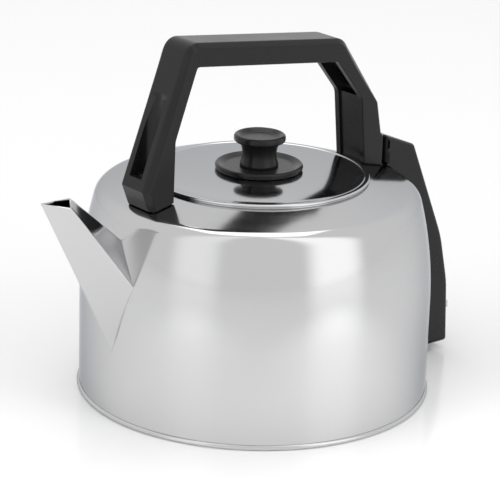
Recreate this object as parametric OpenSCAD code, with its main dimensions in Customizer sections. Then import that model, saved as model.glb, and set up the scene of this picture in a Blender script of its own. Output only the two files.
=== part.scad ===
// Corded electric kettle of the traditional kind, in millimetres.
// +Z is up, the spout points to -X and the handle lies in the XZ plane.
// The origin is the centre of the bead that the kettle stands on.

/* [Body] */
// Outside radius of the upright wall
body_r = 100; // [85:1:125]
// Height at which the wall starts to lean inwards
wall_h = 55; // [45:1:75]
// Height of the leaning part of the wall
bow_h = 57.5; // [45:0.5:70]
// Radius of the lean, seen from the side
bow_r = 218; // [180:1:400]
// Radius of the corner between wall and shoulder
corner_r = 9; // [5:0.5:14]
// Slope of the shoulder in degrees
shoulder_a = 13.4; // [8:0.1:20]
// Thickness of the sheet
sheet_t = 0.8; // [0.5:0.1:1.2]
// Radius of the opening under the lid
mouth_r = 58; // [50:0.5:64]
// Depth of the turned-down neck of the opening
neck_d = 7; // [5:0.5:9]

/* [Base] */
// Height of the rolled bead
bead_h = 3.2; // [2:0.1:5]
// How far the bead stands proud of the wall
bead_out = 1.2; // [0.5:0.1:2]
// Height of the floor of the kettle
floor_z = 6; // [5:0.5:8]

/* [Spout] */
// How far the spout's lip stands out from the drum's wall
spout_out = 47.2; // [35:0.1:70]
// Height of the front tip of the mouth
spout_z = 133.4; // [115:0.1:150]
// Distance between front tip and rear ridge at the mouth
spout_len = 19.4; // [14:0.1:26]
// Half width of the mouth
spout_w = 8.35; // [6:0.05:11]
// Height at which the keel meets the wall
keel_z = 40; // [34:0.5:50]
// Half width of the spout at the wall
spout_foot_w = 15.4; // [12:0.1:20]
// Height of the side folds at the wall
fold_z = 83; // [76:0.5:88]
// Height at which the rear ridge meets the wall
ridge_z = 104; // [98:0.5:108]
// Thickness of the spout sheet
spout_t = 1; // [0.6:0.1:1.4]
// Radius of the straining holes
strain_r = 3; // [2:0.1:4]
// Distance between the straining holes
strain_pitch = 9; // [8:0.5:12]

/* [Lid] */
// How far the lid plate reaches over the opening
lid_over = 4.8; // [3.5:0.1:6]
// Height of the lid's rim above its plate
lid_rim_h = 0.3; // [0.2:0.05:0.6]
// How far the middle of the lid stands above its edge
lid_rise = 2.1; // [0.5:0.1:5]
// Depth of the collar under the lid
collar_d = 9; // [6:0.5:12]
// Gap between collar and neck
collar_gap = 0.4; // [0.3:0.05:0.8]
// Radius of the knob
knob_r = 14.6; // [12:0.1:17]
// Height of the top of the knob above the lid
knob_h = 22.3; // [18:0.1:26]
// Thickness of the knob's disc
knob_t = 4.4; // [3:0.1:6]
// Radius of the knob's stem
stem_r = 9.7; // [7:0.1:11]
// Radius of the heat guard
guard_r = 24.8; // [20:0.1:30]
// Height of the heat guard
guard_h = 3.5; // [2.5:0.1:5]

/* [Handle] */
// Width of the handle
handle_w = 25; // [20:0.5:30]
// Height of the front corner of the grip above the opening
grip_rise = 84.5; // [75:0.5:95]
// Fall of the grip towards the rear, in degrees
grip_fall = 5.9; // [0:0.1:8]
// Thickness of the grip
grip_t = 13; // [11:0.1:16]
// Distance from the axis to the front corner of the grip
grip_front = 59; // [52:0.5:66]
// Distance from the axis to the rear corner of the grip
grip_rear = 50; // [44:0.5:56]
// Gap between the lid and the feet of the handle
foot_gap = 6; // [4:0.5:9]
// Bevel along the outer edges
bevel = 3; // [1.5:0.1:4]
// Thickness of the gaskets under the feet
gasket_t = 0.8; // [0.5:0.1:1.5]
// Radius of the handle screws
screw_r = 2; // [1.5:0.1:2.5]

/* [Rear housing] */
// How far the housing stands out from the drum's wall
house_out = 32.4; // [26:0.1:45]
// Half width of the housing at the bottom
house_foot_w = 25; // [24:0.5:34]
// Height of the underside of the housing
house_z = 4.5; // [4:0.1:8]
// Wall of the housing
house_t = 2.2; // [1.6:0.1:3]
// Gap between the housing and what it covers
house_gap = 0.4; // [0.3:0.05:1]

/* [Element and inlet] */
// Height of the element's head and of the inlet
head_z = 26; // [25:0.5:28]
// Radius of the element's tube
tube_r = 3.8; // [3:0.1:4.5]
// Half distance between the element's legs
leg_y = 7.5; // [7:0.1:8.5]
// Radius of the neck of the element's head
head_neck_r = 13; // [12:0.1:14]
// Width of the inlet's recess
inlet_w = 25.2; // [24:0.1:26]
// Height of the inlet's recess
inlet_h = 17; // [16:0.1:18]

/* [Switch] */
// Height of the rocker's axis
rocker_z = 54; // [52:0.5:58]
// Radius of the rocker
rocker_r = 10.7; // [9:0.1:11]
// Width of the rocker
rocker_w = 14.2; // [11:0.1:15]
// Travel of the rocker in degrees
rocker_travel = 16; // [10:1:20]
// Running gap round pivots
run_gap = 0.05; // [0.02:0.01:0.1]

/* [Hidden] */
spout_reach = body_r + spout_out;
house_reach = body_r + house_out;
$fn = 96;
STEEL = [0.78, 0.79, 0.8];
BLACK = [0.09, 0.09, 0.1];
GREY = [0.45, 0.46, 0.48];
BRASS = [0.72, 0.58, 0.3];
RED = [0.75, 0.1, 0.08];
SEAL = [0.6, 0.3, 0.25];
WHITE = [0.85, 0.84, 0.8];
eps = 0.01;
far = 400;

// Points of an arc about c from angle a0 to a1
function arc(c, r, a0, a1, n) =
    [for (i = [0:n]) c + r * [cos(a0 + (a1 - a0) * i / n), sin(a0 + (a1 - a0) * i / n)]];
function flip(list) = [for (i = [len(list) - 1:-1:0]) list[i]];
function unit(v) = v / norm(v);
// Corner q between p and s, rounded to radius r with n steps
function round_corner(p, q, s, r, n = 5) =
    let (u = unit(p - q), v = unit(s - q))
    let (half = acos(u * v) / 2, c = q + unit(u + v) * r / sin(half))
    let (a = q + u * r / tan(half) - c, b = q + v * r / tan(half) - c)
    let (a0 = atan2(a[1], a[0]), turn = atan2(b[1], b[0]) - a0)
    arc(c, r, a0, a0 + (turn > 180 ? turn - 360 : turn < -180 ? turn + 360 : turn), n);

// Outline of the body: wall, lean, corner and shoulder, d inside the outer face
bow_c = [body_r - bow_r, wall_h];
bow_a = asin(bow_h / bow_r);
corner_c = bow_c + (bow_r - corner_r) * [cos(bow_a), sin(bow_a)];
corner_a = 90 - shoulder_a;
corner_end = corner_c + corner_r * [cos(corner_a), sin(corner_a)];
function shoulder_z(r) = corner_end[1] + (corner_end[0] - r) * tan(shoulder_a);
function wall_x(z) = z < wall_h ? body_r : bow_c[0] + sqrt(bow_r * bow_r - (z - wall_h) * (z - wall_h));
function skin(d, low, inner) = concat(
    [[body_r - d, low]],
    arc(bow_c, bow_r - d, 0, bow_a, 8),
    arc(corner_c, corner_r - d, bow_a, corner_a, 6),
    [[inner, shoulder_z(inner) - d / cos(shoulder_a)]]
);
mouth_z = shoulder_z(mouth_r);
bead_r = body_r + bead_out;

// Solid of the whole body, d inside its outer face
module body_solid(d) {
    rotate_extrude($fn = 180)
        polygon(concat([[0, 0]], [[body_r - d, 0]], skin(d, 0, 0)));
}

module along_x(x0, x1, y, z, r) {
    translate([x0, y, z]) rotate([0, 90, 0]) cylinder(h = x1 - x0, r = r);
}

module along_y(x, y0, y1, z, r) {
    translate([x, y0, z]) rotate([-90, 0, 0]) cylinder(h = y1 - y0, r = r);
}

module block(x0, x1, half_y, z0, z1) {
    translate([x0, -half_y, z0]) cube([x1 - x0, 2 * half_y, z1 - z0]);
}

// An outline in the XZ plane, made w thick about y = 0
module slab(points, w) {
    rotate([90, 0, 0]) translate([0, 0, -w / 2]) linear_extrude(height = w) polygon(points);
}

// Body shell
head_hole_r = head_neck_r + 0.4;
front_x = -(body_r - 20.5);
foot_in = mouth_r + lid_over + foot_gap;
rear_x = foot_in + 7.2;
steam_x = foot_in + 12.2;
steam_y = 8;
steam_r = 2.2;
stud_hole_r = screw_r + 0.4;
strain_rows = [for (i = [0:4]) fold_z - 29 + i * strain_pitch];

module strain_holes() {
    for (i = [0:len(strain_rows) - 1])
        for (y = i % 2 == 0 ? [0] : [-strain_pitch / 2, strain_pitch / 2])
            along_x(-body_r - 5, -body_r + 20, y, strain_rows[i], strain_r);
}

module body_shell() {
    color(STEEL) difference() {
        rotate_extrude($fn = 180) polygon(concat(
            skin(0, bead_h, mouth_r),
            [[mouth_r, mouth_z - neck_d]],
            [[mouth_r + sheet_t, mouth_z - neck_d]],
            [[mouth_r + sheet_t, shoulder_z(mouth_r + sheet_t) - sheet_t / cos(shoulder_a)]],
            flip(skin(sheet_t, bead_h, mouth_r + 2 * sheet_t))
        ));
        strain_holes();
        along_x(body_r - 15, body_r + 5, 0, head_z, head_hole_r);
        for (x = [front_x, rear_x])
            translate([x, 0, mouth_z - 20]) cylinder(h = 30, r = stud_hole_r);
        translate([steam_x, steam_y, mouth_z - 20]) cylinder(h = 30, r = steam_r + 0.4);
    }
}

// Base pan: floor, flange inside the wall and the rolled bead
flange_r = body_r - sheet_t - 0.05;

module base_pan() {
    color(STEEL) rotate_extrude($fn = 180) polygon(concat(
        [[0, floor_z]],
        [[flange_r - sheet_t - 3, floor_z]],
        [[flange_r - sheet_t, floor_z - 3]],
        [[flange_r - sheet_t, 0.6]],
        [[flange_r - sheet_t + 0.6, 0]],
        arc([bead_r - bead_h / 2, bead_h / 2], bead_h / 2, -90, 90, 8),
        [[flange_r, bead_h]],
        [[flange_r, floor_z + sheet_t]],
        [[0, floor_z + sheet_t]]
    ));
}

// Spout: a duct of kite section; keel in front, ridge behind, a fold on each side
inset_r = body_r - 12;
fold_share = 0.753;
fold_fall = 3.3;

// Corner points of the section at the mouth and at a plane inside the body
function past(a, b, x) = a + (b - a) * (x - a[0]) / (b[0] - a[0]);
keel_top = [-spout_reach, 0, spout_z];
fold_top = [-spout_reach + fold_share * spout_len, spout_w, spout_z - fold_fall];
ridge_top = [-spout_reach + spout_len, 0, spout_z - 0.1];
keel_foot = past(keel_top, [-body_r, 0, keel_z], -inset_r);
fold_foot = past(fold_top, [-wall_x(fold_z), spout_foot_w, fold_z], -inset_r);
ridge_foot = past(ridge_top, [-wall_x(ridge_z), 0, ridge_z], -inset_r);

// Corner q between p and s, moved in so that both walls get the thickness t
function corner_in(p, q, s, t) =
    let (a = unit(p - q), b = unit(s - q))
    q + unit(a + b) * t / sin(acos(a * b) / 2);
function kite(k, f, r, t) =
    let (g = [f[0], -f[1], f[2]])
    [corner_in(f, k, g, t), corner_in(k, f, r, t), corner_in(f, r, g, t), corner_in(k, g, r, t)];
function stretch(a, b, t) = [for (i = [0:3]) a[i] + (b[i] - a[i]) * t];

module duct(top, foot) {
    polyhedron(
        points = concat(top, foot),
        faces = [[0, 1, 2], [0, 2, 3], [6, 5, 4], [7, 6, 4],
                 [0, 4, 5], [0, 5, 1], [1, 5, 6], [1, 6, 2], [2, 6, 7], [2, 7, 3], [3, 7, 4], [3, 4, 0]]
    );
}

spout_outer_top = kite(keel_top, fold_top, ridge_top, 0);
spout_outer_foot = kite(keel_foot, fold_foot, ridge_foot, 0);
spout_inner_top = kite(keel_top, fold_top, ridge_top, spout_t);
spout_inner_foot = kite(keel_foot, fold_foot, ridge_foot, spout_t);
spout_open = 0.2;

module spout() {
    color(STEEL) difference() {
        duct(spout_outer_top, spout_outer_foot);
        duct(
            stretch(spout_inner_top, spout_inner_foot, -spout_open),
            stretch(spout_inner_top, spout_inner_foot, 1 + spout_open)
        );
        body_solid(0);
    }
}

// Lid: a plate that is almost flat in the middle, falls to its edge and ends in a rounded rim
lid_r = mouth_r + lid_over;
seat_gap = 0.05;
plate_z = mouth_z + seat_gap + sheet_t;
lid_top = plate_z + lid_rim_h;
knob_z = plate_z + knob_h;
guard_z = plate_z + lid_rise;
lid_flat_r = mouth_r - 1;
rim_r = 1;
clamp_r = 10;
function lid_curve(d) = [
    for (i = [0:12])
        [clamp_r + (lid_flat_r - clamp_r) * i / 12, plate_z + lid_rise * (1 - pow(i / 12, 3)) - d]
];

module lid_plate() {
    color(STEEL) difference() {
        rotate_extrude($fn = 180) polygon(concat(
            [[0, guard_z - sheet_t]],
            lid_curve(sheet_t),
            [[mouth_r + 1.2, plate_z - sheet_t]],
            [[lid_r - 1.6, shoulder_z(lid_r - 1.6) + seat_gap]],
            [[lid_r - 0.4, shoulder_z(lid_r - 0.4) + seat_gap]],
            arc([lid_r - rim_r, lid_top - rim_r], rim_r, 0, 90, 5),
            [[lid_r - 2.6, plate_z]],
            flip(lid_curve(0)),
            [[0, guard_z]]
        ));
        screw_way(guard_z - 5, guard_z + 5);
    }
}

// Clearance for the knob's screw from height z0 to z1
module screw_way(z0, z1) {
    translate([0, 0, z0]) cylinder(h = z1 - z0, r = screw_r + 0.3);
}

// Collar under the lid: a ring with vent holes that drops into the neck
collar_r = mouth_r - collar_gap;
collar_top = plate_z - sheet_t;
collar_in = 14;
collar_dish = 2;
vent_r = 2;

module lid_collar() {
    color(STEEL) difference() {
        rotate_extrude($fn = 180) polygon([
            [collar_in, collar_top - collar_dish],
            [collar_r - 12, collar_top - collar_dish],
            [collar_r - 10, collar_top],
            [collar_r - 1, collar_top],
            [collar_r, collar_top - 1],
            [collar_r, collar_top - collar_d],
            [collar_r - sheet_t, collar_top - collar_d],
            [collar_r - sheet_t, collar_top - sheet_t - 1],
            [collar_r - 10.4, collar_top - sheet_t - 0.4],
            [collar_r - 12.3, collar_top - collar_dish - sheet_t],
            [collar_in, collar_top - collar_dish - sheet_t]
        ]);
        for (a = [30:60:330])
            rotate([0, 0, a]) translate([collar_r - 20, 0, collar_top - 6]) cylinder(h = 8, r = vent_r);
    }
}

// Heat guard, knob and the screw that holds them
dish_d = 1.6;
dish_z = guard_z + guard_h - dish_d;
guard_edge_r = 1.3;

module heat_guard() {
    color(BLACK) difference() {
        rotate_extrude($fn = 120) polygon(concat(
            [[0, guard_z]],
            [[guard_r - 0.8, guard_z]],
            [[guard_r, guard_z + 0.8]],
            [[guard_r - 0.2, guard_z + 1.4]],
            arc([guard_r - 1 - guard_edge_r, guard_z + guard_h - guard_edge_r], guard_edge_r, 15, 120, 6),
            [[guard_r - 5.5, dish_z]],
            [[0, dish_z]]
        ));
        screw_way(guard_z - 1, guard_z + guard_h + 1);
    }
}

knob_edge_r = 1.6;
knob_dish = 1.9;
thread_d = 12;

module knob() {
    disc = knob_z - knob_t;
    color(BLACK) difference() {
        rotate_extrude($fn = 120) polygon(concat(
            [[0, dish_z]],
            [[stem_r + 1.1, dish_z]],
            [[stem_r + 0.4, dish_z + 3]],
            [[stem_r, disc - 2]],
            [[stem_r + 0.8, disc - 0.4]],
            [[knob_r - knob_edge_r, disc]],
            arc([knob_r - knob_edge_r, disc + knob_edge_r], knob_edge_r, -60, 0, 3),
            arc([knob_r - knob_edge_r, knob_z - knob_edge_r], knob_edge_r, 0, 110, 6),
            [[knob_r - 4.5, knob_z - 1.3]],
            [[0, knob_z - knob_dish]]
        ));
        translate([0, 0, dish_z - 1]) cylinder(h = thread_d + 1, r = screw_r + run_gap);
    }
}

washer_t = 0.8;
washer_z = guard_z - sheet_t - washer_t;
head_h = 2.2;
slot_w = 1;

module knob_screw() {
    color(GREY) union() {
        translate([0, 0, washer_z - 1]) cylinder(h = dish_z + thread_d - 1 - washer_z, r = screw_r);
        difference() {
            translate([0, 0, washer_z - head_h]) cylinder(h = head_h, r = 2 * screw_r);
            translate([-5, -slot_w / 2, washer_z - head_h - eps]) cube([10, slot_w, head_h / 2]);
        }
    }
}

module knob_washer() {
    color(GREY) difference() {
        translate([0, 0, washer_z]) cylinder(h = washer_t, r = 3 * screw_r);
        translate([0, 0, washer_z - 1]) cylinder(h = 3, r = screw_r + 0.2);
    }
}

// Handle
seam_x = foot_in + 15.8;
seam_top = mouth_z + 11.8;
leg_front = [-(body_r - 12), mouth_z + 6];
toe = [-(body_r - 17.5), mouth_z - 8];
grip_a = [-grip_front, mouth_z + grip_rise];
grip_b = [grip_rear, mouth_z + grip_rise - (grip_front + grip_rear) * tan(grip_fall)];
knee = [seam_x - 5.8, mouth_z + 32];
heel = [seam_x - 2, seam_top + 1.4];
inner_toe = [-foot_in, mouth_z - 8];
inner_knee_f = [-foot_in + 0.6, mouth_z + 32];
inner_a = [-grip_front + 4.6, grip_a[1] - grip_t - 0.4];
inner_b = [grip_rear - 4.6, grip_b[1] - grip_t + 0.4];
inner_knee_r = [foot_in - 4.4, mouth_z + 37];
inner_heel = [foot_in, mouth_z - 8];
low_z = mouth_z - 22;

outer_line = concat(
    [[toe[0], low_z], toe, leg_front],
    round_corner(leg_front, grip_a, grip_b, 8),
    round_corner(grip_a, grip_b, knee, 9),
    [knee, heel, [seam_x, seam_top], [seam_x, low_z]]
);
inner_line = concat(
    [[inner_heel[0], low_z], inner_heel],
    [inner_knee_r],
    round_corner(inner_knee_r, inner_b, inner_a, 2.5, 3),
    round_corner(inner_b, inner_a, inner_knee_f, 2, 3),
    [inner_knee_f, inner_toe, [inner_toe[0], low_z]]
);

pocket_z = mouth_z + 11.2;
pocket_r = 5.4;
pocket_lean = 6;
channel_w = 17;
channel_d = 11;
rear_seat = mouth_z + 1.5;
liner_t = 2;
liner_in = 1.2;

// The hoop, trimmed to a bevel along every outer edge
module handle_blank() {
    intersection() {
        slab(concat(outer_line, inner_line), handle_w);
        intersection_for (i = [1:len(outer_line) - 4]) bevel_prism(outer_line[i], outer_line[i + 1]);
    }
}

// Keeps the half space under the line p-q, with both long edges bevelled
module bevel_prism(p, q) {
    lean = atan2(q[1] - p[1], q[0] - p[0]);
    half = handle_w / 2;
    translate([p[0], 0, p[1]]) rotate([0, -lean, 0]) rotate([90, 0, 90]) translate([0, 0, -far])
        linear_extrude(height = 2 * far)
            polygon([
                [-half, -far],
                [half, -far],
                [half, -bevel],
                [half - bevel, 0],
                [bevel - half, 0],
                [-half, -bevel]
            ]);
}

// Groove for the front screw, open to the front of the leg
module screw_pocket() {
    translate([front_x, 0, pocket_z]) rotate([0, pocket_lean, 0]) {
        cylinder(h = 60, r = pocket_r);
        translate([-20, -pocket_r, 0]) cube([20, 2 * pocket_r, 60]);
    }
}

// Hollow of the rear leg, which ends at the seat of the rear screw
module channel() {
    out = [1, 0];
    deep = [channel_d, 0];
    rebate = [liner_in + liner_t, 0];
    seat = [foot_in, rear_seat];
    slab(concat(
        [seat - out, inner_knee_r - out, inner_b - [1, 1], inner_b + [6, -1]],
        [inner_knee_r + deep, seat + deep]
    ), channel_w);
    slab([
        inner_heel - out, inner_knee_r - out, inner_knee_r + rebate, inner_heel + rebate
    ], channel_w);
}

tongue_z = mouth_z + 3.6;
tongue_d = 3;
duct_z = tongue_z - 3 - steam_r;

module handle() {
    color(BLACK) difference() {
        handle_blank();
        body_solid(-gasket_t);
        screw_pocket();
        channel();
        for (x = [front_x, rear_x]) translate([x, 0, low_z]) cylinder(h = 60, r = screw_r + 0.2);
        translate([steam_x, steam_y, low_z]) cylinder(h = duct_z + steam_r - low_z, r = steam_r);
        along_x(steam_x, seam_x + 5, steam_y, duct_z, steam_r);
        block(seam_x - tongue_d - 0.4, seam_x + 1, 6.1, tongue_z - 0.1, tongue_z + 6.1);
    }
}

// Panel that closes the lower part of the hollow rear leg
module leg_liner() {
    a = [liner_in, 0];
    b = [liner_in + liner_t, 0];
    color(BLACK) difference() {
        slab([inner_heel + a, inner_knee_r + a, inner_knee_r + b, inner_heel + b], channel_w - 0.2);
        body_solid(-gasket_t - 0.3);
    }
}

module foot_gaskets() {
    color(BLACK) difference() {
        intersection() {
            body_solid(-gasket_t);
            union() {
                block(toe[0] + 1, -foot_in - 1, handle_w / 2 - 1.5, low_z, mouth_z);
                block(foot_in + 1, seam_x - 0.6, handle_w / 2 - 1.5, low_z, mouth_z);
            }
        }
        body_solid(0);
        for (x = [front_x, rear_x]) translate([x, 0, low_z]) cylinder(h = 60, r = stud_hole_r);
        translate([steam_x, steam_y, low_z]) cylinder(h = 60, r = steam_r + 0.4);
    }
}

// Screws that hold the handle, their washers and nuts under the shoulder
nut_gap = 3;
stud_washer_r = 5.5;
nut_r = 4.4;
nut_h = 4.2;

module pan_screw(x, seat) {
    low = shoulder_z(abs(x)) - 12;
    translate([x, 0, low]) cylinder(h = seat + 1 - low, r = screw_r);
    difference() {
        translate([x, 0, seat]) cylinder(h = head_h, r = 1.75 * screw_r);
        translate([x - 5, -slot_w / 2, seat + head_h / 2]) cube([10, slot_w, head_h]);
    }
}

module front_screw() {
    color(GREY) pan_screw(front_x, pocket_z + 0.3);
}

module rear_screw() {
    color(GREY) pan_screw(rear_x, rear_seat);
}

module stud_washers() {
    color(SEAL) difference() {
        for (x = [front_x, rear_x])
            translate([x, 0, shoulder_z(abs(x)) - nut_gap - 1]) cylinder(h = nut_gap + 2, r = stud_washer_r);
        for (x = [front_x, rear_x])
            translate([x, 0, low_z]) cylinder(h = 60, r = screw_r + 0.1);
        difference() {
            translate([0, 0, low_z]) cylinder(h = 60, r = body_r);
            body_solid(sheet_t);
        }
    }
}

module stud_nuts() {
    color(BRASS) for (x = [front_x, rear_x])
        translate([x, 0, shoulder_z(abs(x)) - nut_gap - nut_h - 1]) difference() {
            cylinder(h = nut_h, r = nut_r, $fn = 6);
            translate([0, 0, -1]) cylinder(h = nut_h + 2, r = screw_r + run_gap);
        }
}

// Bush that lets steam from under the shoulder into the handle's duct
module steam_bush() {
    color(WHITE) translate([steam_x, steam_y, shoulder_z(steam_x) - 4]) difference() {
        union() {
            cylinder(h = 6.6, r = steam_r - 0.1);
            cylinder(h = 2, r = steam_r + 1);
        }
        translate([0, 0, -1]) cylinder(h = 12, r = steam_r - 0.8);
    }
}

// Heating element: two legs from the head, then a broad loop near the floor
head_x = body_r - 4.5;
turn_r = 12;
sweep_r = 30;
leg_end = head_x - 25.5;
loop_y = leg_y + turn_r + sweep_r;
loop_x = leg_end - turn_r - sweep_r;

module bend(x, y, r, a0, a1) {
    translate([x, y, head_z]) rotate([0, 0, a0]) rotate_extrude(angle = a1 - a0, $fn = 96)
        translate([r, 0]) circle(r = tube_r, $fn = 32);
}

module element_tube() {
    color(GREY) union() {
        for (side = [-1, 1]) {
            along_x(leg_end, head_x - 2.5, side * leg_y, head_z, tube_r);
            along_x(head_x - 2.5, head_x + 16, side * leg_y, head_z, 2.4);
            along_x(0, loop_x, side * loop_y, head_z, tube_r);
        }
        bend(leg_end, leg_y + turn_r, turn_r, 180, 270);
        bend(leg_end, -leg_y - turn_r, turn_r, 90, 180);
        bend(loop_x, leg_y + turn_r, sweep_r, 0, 90);
        bend(loop_x, -leg_y - turn_r, sweep_r, 270, 360);
        bend(0, 0, loop_y, 90, 270);
    }
}

// Head that closes the hole in the wall, with its neck
head_r = 18;
head_t = 2.5;
neck_end = body_r + 7;

module element_head() {
    color(BRASS) difference() {
        union() {
            along_x(head_x - head_t, head_x, 0, head_z, head_r);
            along_x(head_x - eps, neck_end, 0, head_z, head_neck_r);
        }
        along_x(head_x + 3, neck_end + 1, 0, head_z, head_neck_r - 1.6);
        for (side = [-1, 1]) along_x(head_x - 5, head_x + 5, side * leg_y, head_z, 2.45);
    }
}

module element_gasket() {
    color(SEAL) intersection() {
        difference() {
            along_x(head_x, body_r + 1, 0, head_z, head_r - 0.5);
            along_x(head_x - 1, body_r + 2, 0, head_z, head_neck_r + 0.1);
        }
        body_solid(sheet_t);
    }
}

saddle_x = body_r + 2.6;

module saddle_plate() {
    color(STEEL) difference() {
        intersection() {
            block(body_r - 8, saddle_x, far / 2, head_z - 17, head_z + 17);
            house_form(house_t + 0.3);
        }
        body_solid(0);
        along_x(body_r - 10, body_r + 5, 0, head_z, head_hole_r);
        for (side = [-1, 1]) along_x(body_r - 10, body_r + 5, side * fix_y, head_z, 1.5 + run_gap);
    }
}

module clamp_nut() {
    color(BRASS) difference() {
        along_x(saddle_x, saddle_x + 4, 0, head_z, head_neck_r + 3);
        along_x(saddle_x - 1, saddle_x + 5, 0, head_z, head_neck_r + run_gap);
        for (a = [0:60:300]) translate([saddle_x - 1, 0, head_z]) rotate([a, 0, 0])
            translate([0, -1.5, head_neck_r + 1.5]) cube([6, 3, 3]);
    }
}

block_x = neck_end + 0.4;
inlet_x = block_x + 5.8;
block_w = 14.6;

module thermostat_block() {
    color(WHITE) difference() {
        block(block_x, inlet_x, block_w, head_z - 15, head_z + 15);
        for (side = [-1, 1]) along_x(block_x - 1, inlet_x + 1, side * leg_y, head_z, 2.5);
    }
}

// Rear housing: a hollow cover, cut to the shape of the body
house_seam = seam_x + 0.4;
fix_y = 18;
house_top = [house_seam, seam_top - 0.1];
house_lip = [house_reach - 24.6, mouth_z + 2.7];
house_swell = [house_reach - 4.2, mouth_z - 55.3];
house_back = [house_reach, mouth_z - 84.3];
house_low = [house_reach - 1.4, house_z];
side_slope = (house_foot_w - handle_w / 2) / (house_lip[1] - house_z);
function house_half(z) = min(handle_w / 2 + (house_lip[1] - z) * side_slope, house_foot_w);

// Back line of the housing, d inside its outer face
house_pts = [house_top - [0, 20], house_top, house_lip, house_swell, house_back, house_low, [0, house_z]];
house_round = [0, 0, 2.5, 60, 60, 2.2];
function house_corner(i, d) = corner_in(house_pts[i - 1], house_pts[i], house_pts[i + 1], d);
function house_bend(i, d) =
    let (q = house_corner(i, d))
    let (p = q + unit(house_pts[i - 1] - house_pts[i]), s = q + unit(house_pts[i + 1] - house_pts[i]))
    round_corner(p, q, s, house_round[i], 4);
function house_line(d) = concat(
    [house_corner(1, d)],
    house_bend(2, d),
    house_bend(3, d),
    house_bend(4, d),
    house_bend(5, d)
);

module house_form(d) {
    top = house_half(house_lip[1]) - d;
    foot = house_half(house_z) - d;
    intersection() {
        slab(concat(house_line(d), [
            [body_r - 30, house_z + d],
            [body_r - 30, mouth_z - 30],
            [house_top[0] + d, mouth_z - 12]
        ]), far);
        rotate([90, 0, 90]) linear_extrude(height = far) polygon([
            [-foot, house_z - 5],
            [foot, house_z - 5],
            [foot, house_z],
            [top, house_lip[1]],
            [top, far],
            [-top, far],
            [-top, house_lip[1]],
            [-foot, house_z]
        ]);
    }
}

fit_gap = 0.2;
shroud_w = inlet_w / 2 + 2;
shroud_h = inlet_h / 2 + 1.6;
frame_w = rocker_w / 2 + 2;
frame_h = rocker_r + 2.4;
frame_out = house_reach + 0.8;
lens_z = rocker_z + 24;
lens_lean = atan2(house_swell[0] - house_lip[0], house_lip[1] - house_swell[1]);
lens_x = house_lip[0] + (house_lip[1] - lens_z) * tan(lens_lean);
lens_r = 4;

// Places children at the lamp, with +Z pointing out of the housing
module at_lamp() {
    translate([lens_x, 0, lens_z]) rotate([0, 90 - lens_lean, 0]) children();
}

module rear_housing() {
    color(BLACK) difference() {
        house_form(0);
        house_form(house_t);
        body_solid(-house_gap);
        block(
            house_reach - 8, house_reach + 5, shroud_w + fit_gap,
            head_z - shroud_h - fit_gap, head_z + shroud_h + fit_gap
        );
        block(
            house_reach - 12, house_reach + 5, frame_w + fit_gap,
            rocker_z - frame_h - fit_gap, rocker_z + frame_h + fit_gap
        );
        at_lamp() translate([0, 0, -8]) cylinder(h = 16, r = lens_r + run_gap);
        along_x(seam_x, seam_x + 6, steam_y, duct_z, steam_r);
        block(seam_x, seam_x + 6, 5.8, tongue_z + 0.2, tongue_z + 5.8);
        for (side = [-1, 1]) along_x(body_r, house_reach + 5, side * fix_y, head_z, 1.7);
    }
    color(BLACK) block(seam_x - tongue_d, house_seam + house_t, 5.8, tongue_z + 0.2, tongue_z + 5.8);
}

module housing_screws() {
    color(GREY) for (side = [-1, 1]) {
        along_x(body_r - 1 + 1.4, house_reach - 0.4, side * fix_y, head_z, 1.5);
        difference() {
            along_x(house_reach - 0.4, house_reach + 1.4, side * fix_y, head_z, 3);
            translate([house_reach + 0.6, side * fix_y - 4, head_z - 0.4]) cube([2, 8, 0.8]);
        }
    }
}

module inlet_shroud() {
    color(BLACK) difference() {
        block(inlet_x, house_reach - 0.4, shroud_w, head_z - shroud_h, head_z + shroud_h);
        block(inlet_x + 2, house_reach + 5, inlet_w / 2, head_z - inlet_h / 2, head_z + inlet_h / 2);
        for (pin = pin_places)
            translate([inlet_x - 1, pin[0] - pin_w / 2 - 0.1, head_z + pin[1] - pin_h / 2 - 0.1])
                cube([5, pin_w + 0.2, pin_h + 0.2]);
    }
}

pin_places = [[-7, -2], [7, -2], [0, 3]];
pin_w = 4;
pin_h = 2;
pin_len = 13;

module inlet_pins() {
    color(BRASS) for (pin = pin_places)
        translate([inlet_x, pin[0] - pin_w / 2, head_z + pin[1] - pin_h / 2]) cube([pin_len, pin_w, pin_h]);
}

// Switch: frame with cheeks, rocker, and the lever and rod that the bimetal works
rocker_x = frame_out - 6;
lever_x = body_r + 10.5;
link_r = (rocker_x - lever_x) / 2;
rod_x = body_r + 2.6;
rod_r = 1.3;
pivot_r = 1.5;
cheek = 2;

module switch_frame() {
    color(BLACK) difference() {
        union() {
            block(rocker_x - 8, frame_out, frame_w, rocker_z - frame_h, rocker_z + frame_h);
            block(lever_x - 4, rocker_x, frame_w, rocker_z - 5, rocker_z + 5);
        }
        block(
            lever_x - 10, frame_out + 5, frame_w - cheek + 0.2,
            rocker_z - rocker_r - 0.3, rocker_z + rocker_r + 0.3
        );
        for (x = [rocker_x, lever_x]) along_y(x, -20, 20, rocker_z, pivot_r + run_gap);
    }
}

// Drawn at mid travel, then turned back by half the travel to the off position
module rocker() {
    half = rocker_w / 2;
    color(RED) translate([rocker_x, 0, rocker_z]) rotate([0, rocker_travel / 2, 0]) union() {
        difference() {
            along_y(0, -half, half, 0, rocker_r);
            slab([
                [7, 0],
                [4.2, rocker_r + 2],
                [20, rocker_r + 2],
                [20, -rocker_r - 2],
                [4.2, -rocker_r - 2]
            ], 30);
            slab([[-3, -20], [-3, 20], [-20, 20], [-20, -20]], 30);
        }
        along_y(0, -frame_w, frame_w, 0, pivot_r);
        block(-link_r + 0.8, -2.5, 2, -0.9, 0.9);
        along_y(0.8 - link_r, -2, 2, 0, 1.2);
    }
}

fork_gap = 1.5;

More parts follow.
